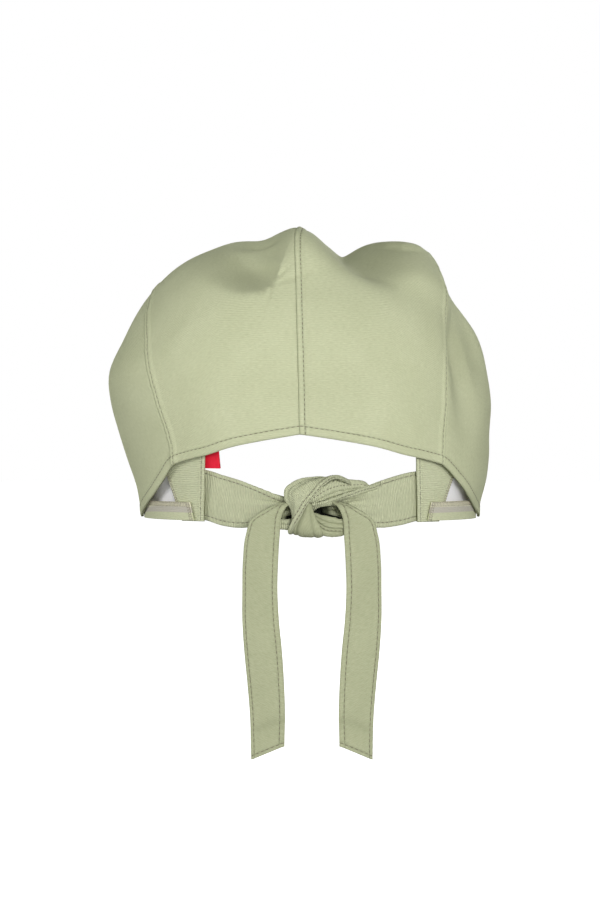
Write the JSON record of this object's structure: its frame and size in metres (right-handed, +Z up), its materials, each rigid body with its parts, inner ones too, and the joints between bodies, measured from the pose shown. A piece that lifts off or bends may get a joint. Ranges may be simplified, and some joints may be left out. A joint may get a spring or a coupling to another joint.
{
  "type": "catering cap",
  "caption": "Soft panelled cloth cap in worn form, with a ridged centre seam, an arched opening at the nape and tie straps knotted below it.",
  "frame": {"origin": "middle of the head opening, level with the rim over the ears", "axes": "+Z up through the crown, +Y towards the forehead, +X towards the wearer's right ear"},
  "size_m": [0.204, 0.2186, 0.2736],
  "materials": {
    "twill": "matt pale green twill",
    "serged_facing": "matt, overlocked edge",
    "lining": "matt pale lavender lining",
    "label": "plain red woven tape"
  },
  "bodies": {
    "root": {"crown_left": "twill", "crown_right": "twill", "side_left": "twill", "side_right": "twill", "tab_left": "twill", "tab_right": "twill", "facing_left": "serged_facing", "facing_right": "serged_facing", "lining_left": "lining", "lining_right": "lining", "strap_left": "twill", "strap_right": "twill", "knot": "twill", "tail_left": "twill", "tail_right": "twill", "label": "label"}
  },
  "joints": []
}
